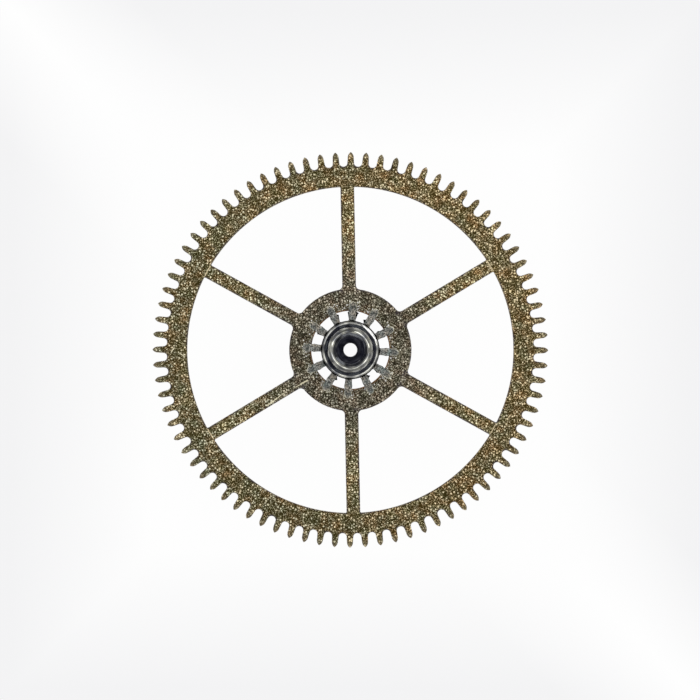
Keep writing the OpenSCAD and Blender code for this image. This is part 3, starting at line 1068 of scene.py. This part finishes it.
# %% Polished steel: the colour of each stretch, with turning marks
# TURNED, inside the bore and sinks, is partly painted shade.
STEEL_SHADES = (
    (TURNED, (74, 75, 86)), (DULL, (92, 93, 98)), (GROUND, (146, 147, 147)), (POLISHED, (140, 140, 136)),
)
STEEL_CASTS = ((0.1, (0.42, 0.44, 0.52)), (0.5, (0.95, 0.95, 0.95)), (0.9, (1.75, 1.75, 1.6)))
CAST_SHARES = (0.15, 1.0)
RING_SHARES = (0.22, 0.8)
steel, tree, shader = new_material("Polished steel")
where = add_to(tree, "TexCoord")
rings = use(ring_group, where["Object"], Scale=44000.0)[0]
grain, patch, hue, _ = use(grain_group, where["Object"], Scale=20000.0, Patch_Scale=4500.0, Contrast=1.0)
finish = on_mesh(tree, "finish")
from_axis = use(axis_group, where["Object"])["Radius"]
height = add("SeparateXYZ", {"Vector": where["Object"]})["Z"]
near_top = maths("GREATER_THAN", height, RECESS_Z * MM)
cast_share, ring_share = (remap(near_top, 0.0, 1.0, *span) for span in (CAST_SHARES, RING_SHARES))
colour = tint(shades(finish, STEEL_SHADES), patch, STEEL_CASTS, cast_share)
ring_light = remap(rings, 0.32, 0.68, 0.25, 1.75)
grey = add("CombineColor", {0: ring_light, 1: ring_light, 2: ring_light})[0]
colour = blend_colours(ring_share, colour, grey, "MULTIPLY")
print("nodes in the polished steel so far:", len(tree.nodes))

# %% [markdown]
# # Rings on the upper end of the arbor
# Seen from above, the arbor's end is a set of rings. A darker ring is painted on the pivot's rounded end,
# as painted shade where its reflection turns dark, and the sink's edge is grey in some places and black in
# others, with painted shade at its rim. On the collar, painted shade blackens the corner by the pivot and
# the outer edge, and the round between them gets a painted highlight. At one place, towards the upper
# right lamp, a straight facet gets a painted highlight almost white, with a dark dent along it.

# %% Polished steel: rings and the worn facet
def ring_band(inner, outer, soft):
    """1 between two radii on the arbor's upper end, with soft edges. Millimetres."""
    rise = remap_mm(from_axis, inner, inner + soft)
    fall = remap_mm(from_axis, outer - soft, outer, 1.0, 0.0)
    return times(rise, fall, near_top)


FACET_SIDE = 41
FACET_BAND = (0.576, 0.757, 0.006)
FACET_START = (0.676, 0.684)
FACET_HIGHLIGHT_SHADE = (252, 252, 250)
DENT = 0.722
DENT_FADE = (0.005, 0.011, 0.85, 0.0)
here_and_there = remap(patch, 0.35, 0.7, 0.0, 0.65)
for inner, outer, soft, share, shade_on_top in (
    # from and to this distance from the axis, softness, share, colour
    # painted shade at the rim of the upper sink
    (0.33, 0.384, 0.012, 0.45, (20, 20, 28)),
    (0.38, 0.455, 0.012, remap(hue, 0.47, 0.6, 0.0, 0.8), (232, 236, 234)),
    (0.38, 0.455, 0.012, remap(hue, 0.36, 0.48, 0.6, 0.0), (26, 27, 34)),
    # painted shade: a dark ring where the reflection on the pivot's rounded end turns dark
    (0.538, 0.578, 0.014, 0.6, (44, 45, 52)),
    # painted shade in the corner between the pivot and the collar
    (0.594, 0.64, 0.01, maths("SUBTRACT", 0.5, here_and_there), (58, 58, 68)),
    (0.63, 0.685, 0.012, remap(hue, 0.49, 0.6, 0.0, 0.7), (232, 240, 216)),
    # painted highlight on the collar's round
    (0.685, 0.748, 0.012, here_and_there, (190, 190, 185)),
    # painted shade along the collar's outer edge
    (0.748, 0.8, 0.008, 0.38, (30, 31, 36)),
):
    colour = paint(colour, (times(ring_band(inner, outer, soft), share), shade_on_top))
# Painted highlight: a straight facet towards the upper right lamp, painted almost white, with a dark dent
# along it.
reach = reach_towards(where["Object"], FACET_SIDE)
facet = times(ring_band(*FACET_BAND), remap_mm(reach, *FACET_START))
off_dent = size_of(maths("SUBTRACT", reach, DENT * MM))
dent = times(remap_mm(off_dent, *DENT_FADE), remap(grain, 0.44, 0.56))
facet_highlight = times(facet, maths("SUBTRACT", 1.0, dent))
colour = paint(colour, (facet_highlight, FACET_HIGHLIGHT_SHADE))
smooth = maths("MULTIPLY_ADD", facet_highlight, 0.4, remap(finish, 0.0, 1.0, 0.34, 0.12))
finish_metal(shader, colour, smooth, rings, 0.12, 0.003)

# %% Give each piece its finish and its place in the frame
for piece, material, cad_node, slot in (
    (wheel, brass, "center_wheel", "gilt_brass"),
    (pinion, ground, "center_pinion", "leaf_steel"),
    (arbor, steel, "hollow_arbor", "polished_steel"),
):
    piece.data.materials.clear()
    piece.data.materials.append(material)
    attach(piece, "root")
    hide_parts(cad_node)
    print(piece.name, "stands for", cad_node, "in", material.name)


# %% [markdown]
# # The floor
# The photograph shows the wheel on a white ground that fades to a very light grey towards the frame. The
# floor is a plain pale sheet. What the camera and polished metal see of it is mostly its own white, so
# that it stays white without more light on the object, and a share of real shading keeps the shadow.

# %% Floor
FLOOR_HALF = 600.0
FLOOR_GAP = 0.01
SHADOW_SHARE = 0.045
PAPER_WHITE = 0.94
FALLOFF_GREY = (244, 244, 245)
FADE_OUT = (5.6, 9.4)
COME_BACK = (14.0, 30.0, 1.0, 0.0)
OFF_DIAGONAL = (0.0, 3.8)
a = FLOOR_HALF
corners = np.array([[-a, -a, 0], [a, -a, 0], [a, a, 0], [-a, a, 0]], float)
corners[:, 2] = ARBOR_BOTTOM - FLOOR_GAP
floor = new_piece("floor", corners, [[[0, 1, 2, 3]]])
paper, tree, shader = new_material("White paper")
x, y, _ = add("SeparateXYZ", {"Vector": add_to(tree, "TexCoord")["Object"]})
from_middle = maths("MAXIMUM", size_of(x), size_of(y))
across = size_of(maths("ADD", x, y))
# Painted shade: the paper is painted a very light grey towards the frame, as light falling off there, but not
# along one diagonal.
painted_falloff = times(
    remap_mm(from_middle, *FADE_OUT), remap_mm(from_middle, *COME_BACK), remap_mm(across, *OFF_DIAGONAL))
paper_colour = paint((1, 1, 1, 1), (painted_falloff, FALLOFF_GREY))
paper_light = blend_colours(1.0, paper_colour, (PAPER_WHITE, PAPER_WHITE, PAPER_WHITE, 1), "MULTIPLY")
fill(shader, {"Base Color": paper_light, "Roughness": 0.9, "Specular IOR Level": 0.0})
rays = add_to(tree, "LightPath")
mirrored = maths("MAXIMUM", rays["Is Glossy Ray"], rays["Is Transmission Ray"])
seen = maths("MAXIMUM", rays["Is Camera Ray"], mirrored)
glow = add("Emission", {"Color": paper_colour, "Strength": 1.0})[0]
shaded = tree.nodes["Principled BSDF"].outputs[0]
mixed = add("MixShader", {"Fac": times(seen, 1 - SHADOW_SHARE), 1: shaded, 2: glow})[0]
fill(tree.nodes["Material Output"].inputs, {"Surface": mixed})
floor.data.materials.append(paper)

# %% [markdown]
# # Light
# The wheel is lit as in a small white tent. The world is white where the camera looks at it, about two
# thirds of that where shiny metal mirrors it, and gives a plain soft light to everything else. Four broad
# lamps at the corners put a soft gleam on rounded edges. Straight above, a polished flat reflects the
# dark front of the lens, which is why such faces look black. A dark card that only reflections see
# stands for that lens.

# %% World
AMBIENT = 0.4
REFLECTED = 0.66
scene = bpy.context.scene
scene.view_settings.view_transform = "Standard"
world = bpy.data.worlds.new("White tent")
scene.world = world
world.use_nodes = True
tree = world.node_tree
rays = add_to(tree, "LightPath")
seen = maths("MAXIMUM", rays["Is Camera Ray"], rays["Is Transmission Ray"])
light = remap(rays["Is Glossy Ray"], 0.0, 1.0, AMBIENT, REFLECTED)
strength = maths("MAXIMUM", light, seen)
fill(tree.nodes["Background"].inputs, {"Color": (1, 1, 1, 1), "Strength": strength})

# %% Lamps
LAMP_DISTANCE = 220.0
LAMP_WIDTH = 220.0
LAMP_HEIGHT = 60.0


def soft_lamp(name, around, up, radiance):
    """Oblong lamp at two angles in degrees, aimed at the wheel. Its power is radiance * pi * area."""
    light = bpy.data.lights.new(name, "AREA")
    light.shape = "RECTANGLE"
    light.size, light.size_y = LAMP_WIDTH * MM, LAMP_HEIGHT * MM
    light.energy = radiance * math.pi * LAMP_WIDTH * LAMP_HEIGHT * MM * MM
    lamp = put_in_scene(name, light)
    a, b = math.radians(around), math.radians(up)
    aim = math.cos(b) * math.cos(a), math.cos(b) * math.sin(a), math.sin(b)
    lamp.location = [LAMP_DISTANCE * MM * part for part in aim]
    lamp.rotation_euler = (math.radians(90 - up), 0, math.radians(90 + around))
    print(name, "gives", round(light.energy * 1000, 2), "mW")


soft_lamp("upper right lamp", 42, 45, 3.4)
soft_lamp("upper left lamp", 130, 45, 2.3)
soft_lamp("lower left lamp", 225, 45, 2.4)
soft_lamp("lower right lamp", 315, 45, 2.2)

# %% Dark card in place of the lens
CARD_HEIGHT = 120.0
CARD_ANGLE = 12.0
CARD_CORNERS = 64
GLASS_GLEAM = (58, 60, 76)
card_r = CARD_HEIGHT * math.tan(math.radians(CARD_ANGLE))
card_outline, _ = arc((0, 0), card_r, 0, 360, CARD_CORNERS + 1)
card_points = np.column_stack([card_outline[:-1], np.full(CARD_CORNERS, CARD_HEIGHT)])
card = new_piece("lens_card", card_points, [[list(range(CARD_CORNERS))]])
black, tree, shader = new_material("Black card")
fill(shader, {
    "Base Color": (0.004, 0.004, 0.006, 1), "Roughness": 0.9,
    "Emission Color": linear(*GLASS_GLEAM), "Emission Strength": 1.0,
})
card.data.materials.append(black)
card.visible_camera = False
card.visible_diffuse = False
card.visible_transmission = False
card.visible_shadow = False

# %% [markdown]
# # Camera
# The photograph is taken straight from above with a long lens, so the walls of the wheel don't show. In
# it the wheel lies a tenth of a degree turned and a hundredth of a millimetre off the middle. The camera
# is turned and moved by that much instead, so that the wheel can stay true to its axes.

# %% Camera
CAMERA_HEIGHT = 160.0
FRAME_WIDTH = 19.003
CAMERA_X = -0.0095
CAMERA_Y = -0.0027
CAMERA_TURN = 0.114
SENSOR = 36.0
view = bpy.data.cameras.new("Camera above the wheel")
view.sensor_width = SENSOR
view.lens = SENSOR * CAMERA_HEIGHT / FRAME_WIDTH
view.clip_start = 0.01
view.clip_end = 5.0
camera = put_in_scene("Camera above the wheel", view)
camera.location = (CAMERA_X * MM, CAMERA_Y * MM, (RIM_TOP + CAMERA_HEIGHT) * MM)
camera.rotation_euler[2] = math.radians(CAMERA_TURN)
scene.camera = camera
print("lens:", round(view.lens, 1), "mm")
